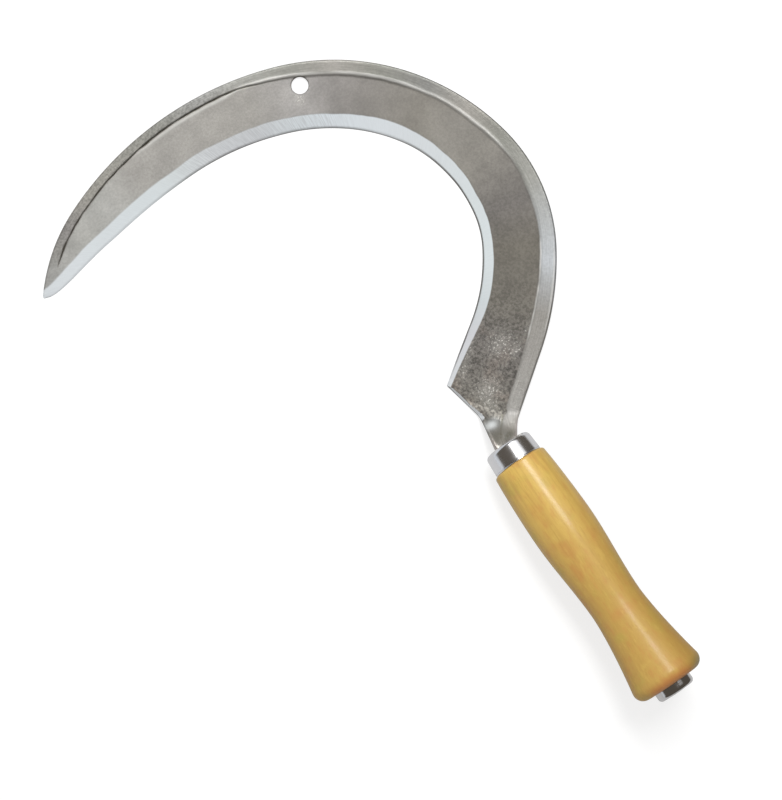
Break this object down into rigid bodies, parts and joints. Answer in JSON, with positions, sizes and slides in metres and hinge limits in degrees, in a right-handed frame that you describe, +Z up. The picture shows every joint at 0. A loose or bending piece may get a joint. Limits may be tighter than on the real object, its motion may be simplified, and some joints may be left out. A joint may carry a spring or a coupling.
{
  "type": "sickle",
  "caption": "Grass sickle with a forged crescent blade, ground inner edge, hang hole, cranked neck, chromed ferrule and a turned, lacquered wooden handle.",
  "frame": {"origin": "middle of the bounding box, on the surface that the blade's flat underside lies on", "axes": "+Z up from the blade's underside, +Y from the handle towards the blade; the handle's axis lies in a plane square to X, and the crescent opens towards -X"},
  "size_m": [0.2488, 0.3924, 0.0527],
  "materials": {
    "blade_steel": "forged, matte and mottled, with a bright ground edge",
    "ferrule_chrome": "polished chrome plating",
    "handle_wood": "straight-grained hardwood under a glossy yellow lacquer",
    "cap_chrome": "polished chrome plating"
  },
  "bodies": {
    "root": {"blade": "blade_steel", "ferrule": "ferrule_chrome", "handle": "handle_wood", "butt_cap": "cap_chrome"}
  },
  "joints": []
}
